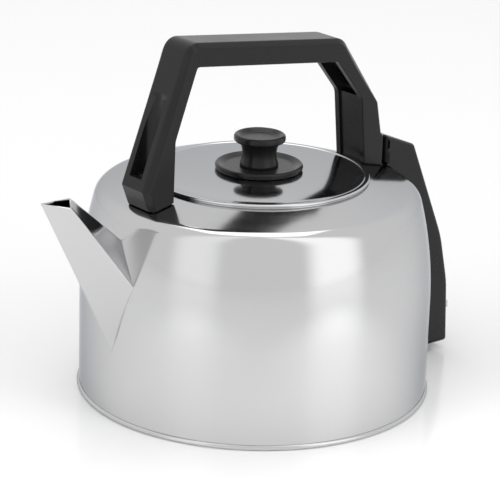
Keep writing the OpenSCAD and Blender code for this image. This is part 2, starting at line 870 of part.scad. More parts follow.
module trip_lever() {
    half = frame_w - cheek - 0.3;
    color(WHITE) translate([lever_x, 0, rocker_z]) rotate([0, -rocker_travel / 2, 0]) union() {
        along_y(0, -frame_w, frame_w, 0, pivot_r);
        along_y(0, -half, half, 0, 2.6);
        block(-(lever_x - rod_x) - 2, 0, 3, -1, 1);
        for (side = [-1, 1]) translate([1, -3, side * (fork_gap + 0.75) - 0.75]) cube([link_r + 0.8, 6, 1.5]);
    }
}

rod_low = rocker_z + 0.35;
disc_z = mouth_z - 5.6;
rod_lift = (lever_x - rod_x) * rocker_travel * PI / 180;

module trip_rod() {
    color(WHITE) translate([rod_x, 0, rod_low]) cylinder(h = disc_z - 0.4 - rod_lift - rod_low, r = rod_r);
}

guide_z = rocker_z + 30;

module rod_guide() {
    color(BLACK) difference() {
        intersection() {
            block(body_r - 10, house_reach, far / 2, guide_z, guide_z + 3);
            house_form(house_t + 0.1);
        }
        body_solid(-house_gap);
        translate([rod_x, 0, guide_z - 5]) cylinder(h = 20, r = rod_r + run_gap);
    }
}

disc_x = rod_x - 0.6;
disc_r = 5.4;

module bimetal_disc() {
    color(BRASS) translate([disc_x, 0, disc_z]) cylinder(h = 0.4, r = disc_r);
}

module bimetal_holder() {
    color(BLACK) difference() {
        intersection() {
            block(disc_x - disc_r - 1.4, disc_x + 8, far / 2, disc_z - 0.6, disc_z + 2.2);
            house_form(house_t + 0.1);
        }
        translate([disc_x, 0, disc_z - 2]) cylinder(h = 2.45, r = disc_r + 0.1);
        translate([disc_x, 0, disc_z - 2]) cylinder(h = 10, r = disc_r - 1.4);
        body_solid(-house_gap);
    }
}

// Indicator: lens in the back of the housing and the lamp behind it
module indicator_lens() {
    color(RED) at_lamp() union() {
        translate([0, 0, -house_t - 1]) cylinder(h = house_t + 1.8, r = lens_r);
        translate([0, 0, -house_t - 2]) cylinder(h = 1, r = lens_r + 1);
    }
}

module lamp_body() {
    color(WHITE) at_lamp() translate([0, 0, -house_t - 9.4]) cylinder(h = 7.3, r = 2.6);
}

body_shell();
base_pan();
spout();
lid_plate();
lid_collar();
knob();
heat_guard();
knob_screw();
knob_washer();
handle();
leg_liner();
foot_gaskets();
front_screw();
rear_screw();
stud_washers();
stud_nuts();
steam_bush();
element_tube();
element_head();
element_gasket();
saddle_plate();
clamp_nut();
thermostat_block();
rear_housing();
housing_screws();
inlet_shroud();
inlet_pins();
switch_frame();
rocker();
trip_lever();
trip_rod();
rod_guide();
bimetal_disc();
bimetal_holder();
indicator_lens();
lamp_body();
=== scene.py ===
import math

import bmesh
import bpy
import numpy as np
from mathutils import Matrix, Vector


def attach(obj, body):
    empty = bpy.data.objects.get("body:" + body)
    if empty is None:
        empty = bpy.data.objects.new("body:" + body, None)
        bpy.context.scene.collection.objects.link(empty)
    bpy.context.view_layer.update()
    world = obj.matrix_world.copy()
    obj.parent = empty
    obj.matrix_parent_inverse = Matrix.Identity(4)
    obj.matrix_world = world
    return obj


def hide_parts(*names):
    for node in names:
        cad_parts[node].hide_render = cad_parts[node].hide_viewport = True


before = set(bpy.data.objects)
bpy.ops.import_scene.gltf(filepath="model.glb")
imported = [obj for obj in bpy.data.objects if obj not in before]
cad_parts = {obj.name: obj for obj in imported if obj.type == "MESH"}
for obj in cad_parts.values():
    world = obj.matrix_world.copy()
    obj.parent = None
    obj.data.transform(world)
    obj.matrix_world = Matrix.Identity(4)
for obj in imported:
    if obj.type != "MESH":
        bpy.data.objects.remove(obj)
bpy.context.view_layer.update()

# ---------------------------------------------------------------- camera
# A long lens a little above the lid, looking at the spout's near side.
# The kettle stands slightly clockwise in the frame, so the camera rolls by the same angle.
CAMERA_PLACE = Vector((-0.7873, -0.9551, 0.5022))
CAMERA_LOOK = Vector((0.5999, 0.7320, -0.3230)).normalized()
CAMERA_ROLL = math.radians(1.81)
LENS_MM = 165.9

level = CAMERA_LOOK.cross(Vector((0, 0, 1))).normalized()
upward = level.cross(CAMERA_LOOK)
right = level * math.cos(CAMERA_ROLL) + upward * math.sin(CAMERA_ROLL)
above = right.cross(CAMERA_LOOK)
camera = bpy.data.objects.new("camera", bpy.data.cameras.new("camera"))
bpy.context.scene.collection.objects.link(camera)
camera.data.lens = LENS_MM
camera.data.sensor_width = 36
camera.data.clip_start, camera.data.clip_end = 0.05, 20
turn = Matrix((right, above, -CAMERA_LOOK)).transposed().to_4x4()
camera.matrix_world = Matrix.Translation(CAMERA_PLACE) @ turn
bpy.context.scene.camera = camera

# ---------------------------------------------------------------- table and light
# A glossy white table that runs out to a white surround, and soft boxes round it. The
# surround glows in two headings and two spot lamps brighten the table below them, which the
# polished drum shows as broad upright bands.
MM = 0.001
TABLE_HALF = 4000
TABLE_WHITE = 0.84
SURROUND = 0.89

bpy.context.scene.view_settings.view_transform = "Standard"


class Wire:
    """A value on its way through a finish: +, - and * on it add Math nodes to its tree."""

    def __init__(self, tree, socket=None):
        self.tree, self.socket = tree, socket

    def add(self, kind, settings=None, inputs=None, out=0):
        """Puts in one node: its settings first, then the values or wires of its sockets."""
        node = self.tree.nodes.new("ShaderNode" + kind)
        for name, value in (settings or {}).items():
            setattr(node, name, value)
        for name, value in (inputs or {}).items():
            if isinstance(value, Wire):
                self.tree.links.new(value.socket, node.inputs[name])
            else:
                node.inputs[name].default_value = value
        return Wire(self.tree, node.outputs[out])

    def math(self, operation, first, second):
        return self.add("Math", {"operation": operation}, {0: first, 1: second})

    def __add__(self, other):
        return self.math("ADD", self, other)

    def __mul__(self, other):
        return self.math("MULTIPLY", self, other)

    def __sub__(self, other):
        return self.math("SUBTRACT", self, other)

    def __rsub__(self, other):
        return self.math("SUBTRACT", other, self)

    __radd__ = __add__
    __rmul__ = __mul__


def new_finish(name, colour, metallic=0.0, roughness=0.4, **constants):
    """A material with one Principled shader whose constants are set on its own sockets."""
    material = bpy.data.materials.new(name)
    material.use_nodes = True
    material.diffuse_color = (*colour, 1)
    shader = material.node_tree.nodes["Principled BSDF"]
    shader.inputs["Base Color"].default_value = (*colour, 1)
    shader.inputs["Metallic"].default_value = metallic
    shader.inputs["Roughness"].default_value = roughness
    for socket, value in constants.items():
        shader.inputs[socket.replace("_", " ")].default_value = value
    return material


def feed(material, socket, wire):
    """Links a varying value to a socket of the finish's shader."""
    shader = material.node_tree.nodes["Principled BSDF"]
    material.node_tree.links.new(wire.socket, shader.inputs[socket])


def place_in(material):
    """The Object coordinates of the piece that wears the finish."""
    return Wire(material.node_tree).add("TexCoord", out=3)


def mottled(finish, scale, low, spread, detail=3.0):
    """Roughness that drifts over a piece: a low value plus a share of a noise."""
    spot = place_in(finish)
    cloud = spot.add("TexNoise", inputs={"Vector": spot, "Scale": scale, "Detail": detail})
    feed(finish, "Roughness", low + cloud * spread)


def surface(name, grid, ring=False, loop=False, sharp=32):
    """Mesh of a grid of points in mm. Neighbouring rows and columns span one face each.
    ring joins the last column to the first, loop the last row to the first. Points that
    fall together at a pole are merged, and the closed form's faces are turned outwards."""
    rows, columns = grid.shape[:2]
    index = np.arange(rows * columns).reshape(rows, columns)
    if loop:
        index = np.vstack([index, index[:1]])
    if ring:
        index = np.hstack([index, index[:, :1]])
    quads = np.stack([index[:-1, :-1], index[:-1, 1:], index[1:, 1:], index[1:, :-1]], -1)
    mesh = bpy.data.meshes.new(name)
    mesh.from_pydata((grid.reshape(-1, 3) * MM).tolist(), [], quads.reshape(-1, 4).tolist())
    return finished(name, mesh, sharp)


def finished(name, mesh, sharp=32):
    """Merges doubles, turns the faces outwards, shades them smooth and marks hard edges."""
    work = bmesh.new()
    work.from_mesh(mesh)
    bmesh.ops.remove_doubles(work, verts=work.verts, dist=2e-6)
    bmesh.ops.recalc_face_normals(work, faces=work.faces)
    work.to_mesh(mesh)
    work.free()
    mesh.polygons.foreach_set("use_smooth", np.ones(len(mesh.polygons), bool))
    mesh.set_sharp_from_angle(angle=math.radians(sharp))
    piece = bpy.data.objects.new(name, mesh)
    bpy.context.scene.collection.objects.link(piece)
    return piece


table_edge = np.linspace(-TABLE_HALF, TABLE_HALF, 3)
table_grid = np.stack([*np.meshgrid(table_edge, table_edge, indexing="ij"), np.zeros((3, 3))], -1)
table = surface("table", table_grid)
if table.data.polygons[0].normal.z < 0:
    table.data.flip_normals()
table_finish = new_finish("white table", (TABLE_WHITE,) * 3, roughness=0.14, Specular_IOR_Level=0.5)
table.data.materials.append(table_finish)

world = bpy.data.worlds.new("surround")
world.use_nodes = True
PALE = (SURROUND, SURROUND, SURROUND, 1)
world.node_tree.nodes["Background"].inputs["Color"].default_value = PALE
world.node_tree.nodes["Background"].inputs["Strength"].default_value = 1.0
bpy.context.scene.world = world


def glow(heading, inner, outer):
    """Share of a glow of the surround: 1 within an angle of a heading, 0 beyond another."""
    sky = Wire(world.node_tree).add("TexCoord")
    flat = sky.add("VectorMath", {"operation": "MULTIPLY"}, {0: sky, 1: (1, 1, 0)})
    flat = flat.add("VectorMath", {"operation": "NORMALIZE"}, {0: flat})
    near = flat.add("VectorMath", {"operation": "DOT_PRODUCT"}, {0: flat, 1: (*heading, 0)}, out=1)
    limits = {"From Min": math.cos(math.radians(outer)), "From Max": math.cos(math.radians(inner))}
    return near.add("MapRange", {"interpolation_type": "SMOOTHSTEP"}, {"Value": near, **limits})


RIGHT_GLOW, LEFT_GLOW = (0.251, -0.968), (-0.983, -0.183)
GLOW_STRENGTH, LEFT_SHARE = 1.75, 0.5
bright = Wire(world.node_tree).add("Background", inputs={"Color": PALE, "Strength": GLOW_STRENGTH})
plain = Wire(world.node_tree, world.node_tree.nodes["Background"].outputs[0])
glows = glow(RIGHT_GLOW, 6, 24) + glow(LEFT_GLOW, 4, 20) * LEFT_SHARE
mixed = glows.add("MixShader", inputs={0: glows, 1: plain, 2: bright})
world.node_tree.links.new(mixed.socket, world.node_tree.nodes["World Output"].inputs["Surface"])


def aimed(light, place, aim):
    """Puts a light at a place, in metres, and turns it to face a point."""
    lamp = bpy.data.objects.new(light.name, light)
    lamp.location = place
    lamp.rotation_mode = "QUATERNION"
    lamp.rotation_quaternion = (Vector(aim) - Vector(place)).to_track_quat("-Z", "Y")
    bpy.context.scene.collection.objects.link(lamp)
    return lamp


def soft_box(name, place, aim, size, power):
    """A square area light."""
    light = bpy.data.lights.new(name, "AREA")
    light.shape, light.size, light.energy = "SQUARE", size, power
    return aimed(light, place, aim)


def pool_lamp(name, place, aim, cone, power):
    """A spot lamp with a fully faded edge, seen only in what it lights."""
    light = bpy.data.lights.new(name, "SPOT")
    light.spot_size, light.spot_blend, light.energy = math.radians(cone), 1.0, power
    light.shadow_soft_size = 0.08
    aimed(light, place, aim).visible_glossy = False


left_box = soft_box("left box", (-1.3, 0.1, 1.1), (-0.25, -0.05, 0.0), 0.9, 4)
right_box = soft_box("right box", (0.5, -1.5, 1.2), (0.1, -0.3, 0.0), 0.9, 4)
left_box.visible_glossy = right_box.visible_glossy = False
soft_box("top box", (0.3, 0.5, 1.7), (0.0, 0.0, 0.1), 1.1, 5)
pool_lamp("right pool", (0.32, -1.41, 0.6), (0.045, -0.35, 0.0), 13, 90)
pool_lamp("left pool", (-1.41, -0.30, 0.6), (-0.33, -0.1, 0.0), 11, 50)

# ---------------------------------------------------------------- body
# The drum is pressed from one stainless sheet: upright wall, lean, rounded corner and
# shoulder, with the filling neck turned down in its middle. The outside is mirror polished.
BODY_R = 100.0
WALL_H = 55.0
BOW_H = 57.5
BOW_R = 218.0
CORNER_R = 9.0
SHOULDER_A = math.radians(13.4)
SHEET_T = 0.8
MOUTH_R = 58.0
NECK_D = 7.0
BEAD_H = 3.2
ROUND_STEPS = 288

bow_centre = np.array([BODY_R - BOW_R, WALL_H])
bow_end = math.asin(BOW_H / BOW_R)
corner_centre = bow_centre + (BOW_R - CORNER_R) * np.array([math.cos(bow_end), math.sin(bow_end)])
corner_stop = math.pi / 2 - SHOULDER_A
corner_tip = corner_centre + CORNER_R * np.array([math.cos(corner_stop), math.sin(corner_stop)])


def shoulder_z(radius):
    """Height of the shoulder: it falls by the slope for each step away from the axis."""
    return corner_tip[1] + (corner_tip[0] - radius) * math.tan(SHOULDER_A)


def wall_r(height):
    """Radius of the drum at a height: constant, then the circle of the lean."""
    lean = np.clip(height - WALL_H, 0, BOW_H)
    return bow_centre[0] + np.sqrt(BOW_R**2 - lean**2)


def arc(centre, radius, start, stop, steps):
    """Points of a circle about a centre, from one angle to another."""
    angle = np.linspace(start, stop, steps)[:, None]
    return np.asarray(centre) + radius * np.hstack([np.cos(angle), np.sin(angle)])


def line(start, stop, steps):
    """Evenly spaced points of a straight line without its last point."""
    share = np.linspace(0, 1, steps, endpoint=False)[:, None]
    return np.asarray(start) * (1 - share) + np.asarray(stop) * share


def lathe(name, profile, closed=True, steps=ROUND_STEPS, sharp=32):
    """Turns a profile of (radius, height) about Z: x and y are radius times cosine and sine."""
    angle = np.linspace(0, 2 * np.pi, steps, endpoint=False)
    radius, height = profile[:, :1], profile[:, 1:]
    grid = np.stack([radius * np.cos(angle), radius * np.sin(angle), height + 0 * angle], -1)
    return surface(name, grid, ring=True, loop=closed, sharp=sharp)


def cut(piece, *tools):
    """Takes the tools' space out of a piece with a Boolean modifier, and drops the tools."""
    for tool in tools:
        change = piece.modifiers.new("cut", "BOOLEAN")
        change.operation, change.solver, change.object = "DIFFERENCE", "EXACT", tool
    graph = bpy.context.evaluated_depsgraph_get()
    mesh = bpy.data.meshes.new_from_object(piece.evaluated_get(graph))
    piece.modifiers.clear()
    piece.data = mesh
    mesh.polygons.foreach_set("use_smooth", np.ones(len(mesh.polygons), bool))
    mesh.set_sharp_from_angle(angle=math.radians(32))
    for tool in tools:
        bpy.data.objects.remove(tool)


def rod_tool(radius, start, stop):
    """A round bar from one point to another, as a tool for cut()."""
    start, stop = np.asarray(start, float), np.asarray(stop, float)
    way = (stop - start) / np.linalg.norm(stop - start)
    side = np.cross(way, [0, 0, 1] if abs(way[2]) < 0.9 else [1, 0, 0])
    side /= np.linalg.norm(side)
    other = np.cross(way, side)
    angle = np.linspace(0, 2 * np.pi, 48, endpoint=False)[:, None]
    rim = radius * (np.cos(angle) * side + np.sin(angle) * other)
    ends = np.stack([start + 0 * rim, start + rim, stop + rim, stop + 0 * rim])
    return surface("tool", ends, ring=True)


def body_side(inset):
    """Profile of the drum from the foot of the wall to the lip, inset from the outer face."""
    lip = MOUTH_R + 1.0
    return np.vstack([
        line([BODY_R - inset, BEAD_H - 0.1], [BODY_R - inset, WALL_H], 20),
        arc(bow_centre, BOW_R - inset, 0, bow_end, 32)[:-1],
        arc(corner_centre, CORNER_R - inset, bow_end, corner_stop, 20),
        line([corner_tip[0] - 0.6, shoulder_z(corner_tip[0] - 0.6) - inset / math.cos(SHOULDER_A)],
             [lip, shoulder_z(lip) - inset / math.cos(SHOULDER_A)], 10),
    ])


NECK_BEND_R = 1.2
neck_centre = [MOUTH_R + NECK_BEND_R, shoulder_z(MOUTH_R) - 1.55]
neck_bend = arc(neck_centre, NECK_BEND_R, math.pi / 2 - SHOULDER_A, math.pi, 10)
body_profile = np.vstack([
    body_side(0),
    neck_bend,
    [[MOUTH_R, shoulder_z(MOUTH_R) - NECK_D]],
    [[MOUTH_R + SHEET_T, shoulder_z(MOUTH_R) - NECK_D]],
    [[MOUTH_R + SHEET_T, shoulder_z(MOUTH_R) - 2.2]],
    body_side(SHEET_T)[::-1],
])
body = lathe("drum", body_profile)
FOLD_Z, STRAIN_R, STRAIN_PITCH = 83.0, 3.0, 9.0
HEAD_Z, HEAD_HOLE_R = 26.0, 13.4
STUD_X, STUD_HOLE_R = (-79.5, 76.0), 2.4
STEAM_PLACE, STEAM_HOLE_R = (81, 8), 2.6
STRAIN_LOW = FOLD_Z - 29
strainer = [
    rod_tool(STRAIN_R, (-110, y, z), (-80, y, z))
    for row, z in enumerate(STRAIN_LOW + np.arange(5) * STRAIN_PITCH)
    for y in ((0,) if row % 2 == 0 else (-STRAIN_PITCH / 2, STRAIN_PITCH / 2))
]
cut(body, *strainer,
    rod_tool(HEAD_HOLE_R, (85, 0, HEAD_Z), (110, 0, HEAD_Z)),
    rod_tool(STEAM_HOLE_R, (*STEAM_PLACE, 105), (*STEAM_PLACE, 140)),
    *[rod_tool(STUD_HOLE_R, (x, 0, 105), (x, 0, 140)) for x in STUD_X])

steel = new_finish("polished steel", (0.60, 0.60, 0.605), metallic=1.0, roughness=0.1,
                   Specular_Tint=(0.62, 0.63, 0.65, 1))
spot = place_in(steel)
rings = spot.add("Mapping", inputs={"Vector": spot, "Scale": (6.0, 6.0, 900.0)})
polish = rings.add("TexNoise", inputs={"Vector": rings, "Scale": 1.0, "Detail": 2.0})
cloud = spot.add("TexNoise", inputs={"Vector": spot, "Scale": 22.0, "Detail": 2.0})
feed(steel, "Roughness", 0.07 + polish * 0.05 + cloud * 0.05)
body.data.materials.append(steel)
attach(body, "kettle")
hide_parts("body_shell")

# ---------------------------------------------------------------- base
# The floor pan is pressed into the foot of the drum, and its edge is rolled out over the
# sheet to the thin bead that the kettle stands on.
FLOOR_Z = 6.0
BEAD_CENTRE = (99.6, 1.6)
pan_r = BODY_R - SHEET_T - 0.05

base_profile = np.vstack([
    [[0, FLOOR_Z]],
    line([20, FLOOR_Z], [pan_r - 5.0, FLOOR_Z], 6),
    arc([pan_r - SHEET_T - 3.0, FLOOR_Z - 2.2], 2.2, math.pi / 2, 0, 8),
    [[pan_r - SHEET_T, 1.0]],
    arc(BEAD_CENTRE, 1.6, -math.pi * 0.75, math.pi / 2, 22),
    [[pan_r, BEAD_H - 0.02]],
    [[pan_r, FLOOR_Z + SHEET_T]],
    line([pan_r - 0.8, FLOOR_Z + SHEET_T], [20, FLOOR_Z + SHEET_T], 8),
    [[0, FLOOR_Z + SHEET_T]],
])
base = lathe("floor_and_bead", base_profile, closed=False)
base.data.materials.append(steel)
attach(base, "kettle")
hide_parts("base_pan")

# ---------------------------------------------------------------- spout
# The spout is one sheet folded into a kite: keel in front, a fold on each side, ridge behind.
# It is cut to the drum and welded on, and the weld is dressed to a low bead.
SPOUT_REACH, SPOUT_Z, SPOUT_LEN, SPOUT_W = 147.2, 133.4, 19.4, 8.35
KEEL_Z, FOOT_W, RIDGE_Z, SPOUT_T = 40.0, 15.4, 104.0, 1.0
FOLD_ROUND = 1.3
MOUTH_STEPS, FOLD_STEPS, SIDE_STEPS = 90, 7, 12

keel = np.array([[-SPOUT_REACH, 0, SPOUT_Z], [-BODY_R, 0, KEEL_Z]])
fold = np.array([[-SPOUT_REACH + 0.753 * SPOUT_LEN, SPOUT_W, SPOUT_Z - 3.3],
                 [-wall_r(FOLD_Z), FOOT_W, FOLD_Z]])
ridge = np.array([[-SPOUT_REACH + SPOUT_LEN, 0, SPOUT_Z - 0.1], [-wall_r(RIDGE_Z), 0, RIDGE_Z]])
mirror = np.array([1, -1, 1])


def unit(vector):
    """A vector at length one."""
    return vector / np.linalg.norm(vector, axis=-1, keepdims=True)


def kite(share, inset, rounding):
    """Section of the spout at a share of its length: four straight sides, and at each corner
    the curve (1-s)^2 A + 2s(1-s) C + s^2 B between points A and B beside the corner C."""
    corners = [keel, fold, ridge, fold * mirror]
    here = [ends[0] + (ends[1] - ends[0]) * share for ends in corners]
    moved = []
    for i in range(4):
        before, after = unit(here[i - 1] - here[i]), unit(here[(i + 1) % 4] - here[i])
        half = np.arccos(np.clip((before * after).sum(-1, keepdims=True), -1, 1)) / 2
        moved.append(here[i] + unit(before + after) * inset / np.sin(half))
    s = np.linspace(0, 1, FOLD_STEPS)[:, None]
    parts = []
    for i in range(4):
        corner = moved[i]
        before, after = unit(moved[i - 1] - corner), unit(moved[(i + 1) % 4] - corner)
        start, stop = corner + before * rounding, corner + after * rounding
        bend = (1 - s) ** 2 * start + 2 * s * (1 - s) * corner + s**2 * stop
        next_start = moved[(i + 1) % 4] - after * rounding
        inner = np.linspace(0, 1, SIDE_STEPS)[1:-1, None]
        parts += [bend, stop * (1 - inner) + next_start * inner]
    return np.vstack(parts)


def duct(inset, first, rounding):
    """The kite carried down the spout, each line stopping where it meets the drum's wall."""
    top = kite(first, inset, rounding)
    low = kite(1.25, inset, rounding)
    near, away = np.zeros(len(top)), np.ones(len(top))
    for _ in range(40):
        middle = (near + away) / 2
        point = top + (low - top) * middle[:, None]
        outside = np.hypot(point[:, 0], point[:, 1]) > wall_r(point[:, 2]) - 0.4
        near, away = np.where(outside, middle, near), np.where(outside, away, middle)
    share = np.linspace(0, 1, MOUTH_STEPS)[:, None] * near
    return top + (low - top) * share[..., None]


outer_duct = duct(0.0, 0.0, FOLD_ROUND)
inner_duct = duct(SPOUT_T, 0.004, FOLD_ROUND * 0.6)
lip_duct = (outer_duct[0] + inner_duct[0]) / 2 + np.array([0, 0, 0.25])
spout_grid = np.concatenate([outer_duct[::-1], lip_duct[None], inner_duct])
spout = surface("spout_sheet", spout_grid, ring=True, loop=True, sharp=50)
spout_steel = new_finish("folded steel", (0.58, 0.58, 0.585), metallic=1.0, roughness=0.12,
                         Specular_Tint=(0.7, 0.7, 0.72, 1))
spot = place_in(spout_steel)
cloud = spot.add("TexNoise", inputs={"Vector": spot, "Scale": 30.0, "Detail": 2.0})
grain = spot.add("Mapping", inputs={
    "Vector": spot, "Rotation": (0, 0.6, 0), "Scale": (500.0, 500.0, 12.0)})
scratch = grain.add("TexNoise", inputs={"Vector": grain, "Scale": 1.0, "Detail": 3.0})
feed(spout_steel, "Roughness", 0.08 + cloud * 0.08 + scratch * 0.06)
spout.data.materials.append(spout_steel)
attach(spout, "kettle")
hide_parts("spout")


def tube(name, path, radius, steps=12, closed=False):
    """A round tube: a circle carried along a path, square to the chord of its neighbours."""
    ahead = np.roll(path, -1, 0) if closed else np.vstack([path[1:], path[-1:]])
    behind = np.roll(path, 1, 0) if closed else np.vstack([path[:1], path[:-1]])
    way = unit(ahead - behind)
    side = unit(np.cross(way, np.array([0.02, 0.01, 1.0])))
    other = np.cross(way, side)
    angle = np.linspace(0, 2 * np.pi, steps, endpoint=False)[None, :, None]
    radius = np.broadcast_to(np.asarray(radius, float).reshape(-1, 1, 1), (len(path), 1, 1))
    grid = path[:, None] + radius * (np.cos(angle) * side[:, None] + np.sin(angle) * other[:, None])
    if not closed:
        grid = np.concatenate([0 * grid[:1] + path[0], grid, 0 * grid[-1:] + path[-1]])
    return surface(name, grid, ring=True, loop=closed)


weld_path = outer_duct[-1]
weld_share = np.arange(len(weld_path)) / len(weld_path) * 2 * np.pi
WELD_R, WELD_SWELL = 0.5, 0.03
weld_swell = WELD_SWELL * (np.sin(weld_share * 23) + np.sin(weld_share * 41 + 1))
weld = tube("spout_weld", weld_path, WELD_R + weld_swell, closed=True)
weld_finish = new_finish("dressed weld", (0.54, 0.54, 0.55), metallic=1.0, roughness=0.22)
spot = place_in(weld_finish)
beads = spot.add("TexNoise", inputs={"Vector": spot, "Scale": 260.0, "Detail": 2.0})
ripple = beads.add("Bump", inputs={"Height": beads, "Strength": 0.12, "Distance": 0.0003})
feed(weld_finish, "Normal", ripple)
weld.data.materials.append(weld_finish)
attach(weld, "kettle")

# ---------------------------------------------------------------- lid
# The lid is a mirror-polished plate, flat under the guard and falling to a raised rim. A
# collar with steam vents is spot-welded under it and drops into the neck.
LID_OVER, LID_RIM, LID_RISE, SEAT_GAP = 4.8, 0.3, 2.1, 0.05
CLAMP_R, LID_FLAT_R = 10.0, MOUTH_R - 1.0
COLLAR_D, COLLAR_GAP = 9.0, 0.4
lid_r = MOUTH_R + LID_OVER
plate_z = shoulder_z(MOUTH_R) + SEAT_GAP + SHEET_T
lid_top = plate_z + LID_RIM
guard_z = plate_z + LID_RISE


def lid_curve(below):
    """Lid's face at a depth below its top: flat to the clamped middle, then down by the
    lid's rise times the cube of the share of the way to its edge."""
    share = np.linspace(0, 1, 40)[:, None]
    radius = CLAMP_R + (LID_FLAT_R - CLAMP_R) * share
    return np.hstack([radius, guard_z - below - LID_RISE * share**3])


lid_profile = np.vstack([
    [[0, guard_z - SHEET_T]],
    lid_curve(SHEET_T),
    [[MOUTH_R + 1.2, plate_z - SHEET_T]],
    [[lid_r - 1.6, shoulder_z(lid_r - 1.6) + SEAT_GAP]],
    [[lid_r - 0.5, shoulder_z(lid_r - 0.5) + SEAT_GAP]],
    arc([lid_r - 1.0, lid_top - 1.0], 1.0, -math.pi * 0.35, math.pi / 2, 14),
    arc([lid_r - 2.2, lid_top - 1.4], 1.4, math.pi / 2, math.pi * 0.68, 6),
    arc([lid_r - 4.2, plate_z + 1.2], 1.2, -math.pi * 0.3, -math.pi / 2, 6),
    lid_curve(0)[::-1],
    [[0, guard_z]],
])
lid = lathe("lid_sheet", lid_profile, closed=False)
lid.data.materials.append(steel)
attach(lid, "lid")
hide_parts("lid_plate")

collar_r = MOUTH_R - COLLAR_GAP
collar_top = plate_z - SHEET_T
COLLAR_IN = 14.0
collar_profile = np.vstack([
    [[COLLAR_IN, collar_top - 2]], [[collar_r - 13, collar_top - 2]],
    arc([collar_r - 9.5, collar_top - 1.2], 1.15, math.pi * 0.75, math.pi / 2, 6),
    line([collar_r - 8, collar_top - 0.05], [collar_r - 2, collar_top - 0.05], 4),
    arc([collar_r - 1.2, collar_top - 1.25], 1.2, math.pi / 2, 0, 8),
    [[collar_r, collar_top - COLLAR_D]], [[collar_r - SHEET_T, collar_top - COLLAR_D]],
    [[collar_r - SHEET_T, collar_top - 2.2]], [[collar_r - 8.8, collar_top - SHEET_T - 0.4]],
    [[collar_r - 12.3, collar_top - 2 - SHEET_T]], [[COLLAR_IN, collar_top - 2 - SHEET_T]],
])
collar = lathe("lid_collar_ring", collar_profile, steps=192)
vent_angle = np.radians(np.arange(30, 360, 60))
VENT_R, vent_circle = 2.0, collar_r - 20
cut(collar, *[
    rod_tool(VENT_R, (vent_circle * math.cos(a), vent_circle * math.sin(a), collar_top - 6),
             (vent_circle * math.cos(a), vent_circle * math.sin(a), collar_top + 2))
    for a in vent_angle
])
collar.data.materials.append(spout_steel)
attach(collar, "lid")
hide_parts("lid_collar")

# ---------------------------------------------------------------- knob and heat guard
# Both are moulded in black phenolic: a low dish that keeps fingers off the hot lid, and on
# it a waisted knob with a shallow dished top. One screw from below holds the two.
GUARD_R, GUARD_H, DISH_D = 24.8, 3.5, 1.6
KNOB_R, KNOB_H, KNOB_T, STEM_R = 14.6, 22.3, 4.4, 9.7
knob_z = plate_z + KNOB_H
dish_z = guard_z + GUARD_H - DISH_D

guard_profile = np.vstack([
    [[0, guard_z]], [[GUARD_R - 1.8, guard_z]],
    arc([GUARD_R - 1.4, guard_z + 1.2], 1.2, -math.pi / 2, -math.pi * 0.08, 8),
    arc([GUARD_R - 1.45, guard_z + GUARD_H - 1.45], 1.45, 0, math.pi * 0.62, 14),
    arc([GUARD_R - 6.2, dish_z + 2.4], 2.4, -math.pi * 0.36, -math.pi / 2, 8),
    line([GUARD_R - 7.4, dish_z], [8, dish_z], 5),
    [[0, dish_z]],
])
guard = lathe("guard_dish", guard_profile, closed=False, steps=160)
disc_z = knob_z - KNOB_T
knob_profile = np.vstack([
    [[0, dish_z]], [[STEM_R + 0.7, dish_z]],
    arc([STEM_R + 0.7, dish_z + 0.5], 0.5, -math.pi / 2, 0, 5),
    arc([STEM_R + 14.0, disc_z - 7.0], 14.0, math.pi * 1.13, math.pi * 0.87, 16),
    arc([STEM_R + 2.6, disc_z - 1.4], 1.4, math.pi * 0.9, math.pi / 2, 8),
    line([KNOB_R - 2.6, disc_z], [KNOB_R - 1.8, disc_z], 2),
    arc([KNOB_R - 1.7, disc_z + 1.7], 1.7, -math.pi / 2, 0, 10),
    arc([KNOB_R - 1.7, knob_z - 1.7], 1.7, 0, math.pi * 0.6, 14),
    arc([KNOB_R - 5.4, knob_z + 1.3], 3.2, -math.pi * 0.38, -math.pi / 2, 7),
    line([KNOB_R - 6.4, knob_z - 1.9], [4, knob_z - 1.9], 3),
    [[0, knob_z - 1.9]],
])
knob = lathe("knob_turned", knob_profile, closed=False, steps=160)

black = new_finish("black phenolic", (0.011, 0.011, 0.0115), roughness=0.3, Specular_IOR_Level=0.27)
spot = place_in(black)
mould = spot.add("TexNoise", inputs={"Vector": spot, "Scale": 900.0, "Detail": 1.0})
cloud = spot.add("TexNoise", inputs={"Vector": spot, "Scale": 35.0, "Detail": 3.0})
feed(black, "Roughness", 0.2 + cloud * 0.12 + mould * 0.02)
pitting = mould.add("Bump", inputs={"Height": mould, "Strength": 0.05, "Distance": 0.0002})
feed(black, "Normal", pitting)
for part, node in ((guard, "heat_guard"), (knob, "knob")):
    part.data.materials.append(black)
    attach(part, "lid")
    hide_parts(node)

# ---------------------------------------------------------------- handle
# A stiff hoop moulded in the same black phenolic, chamfered along its outer edges. The front
# leg has a groove for its screw, and the rear leg is hollow above the screw's seat.
HANDLE_W, CHAMFER, EDGE_ROUND = 25.0, 3.0, 0.7
GASKET_T, FOOT_IN = 0.8, 68.8
mouth_z = shoulder_z(MOUTH_R)
GRIP_FALL = math.radians(5.9)
SEAM_X = FOOT_IN + 15.8
seam_top = mouth_z + 11.8
grip_a = (-59.0, mouth_z + 84.5)
grip_b = (50.0, mouth_z + 84.5 - 109.0 * math.tan(GRIP_FALL))
inner_a = (grip_a[0] + 4.6, grip_a[1] - 13.4)
inner_b = (grip_b[0] - 4.6, grip_b[1] - 12.6)
LOW_Z = mouth_z - 8.0
HOOP_POINTS = 1600


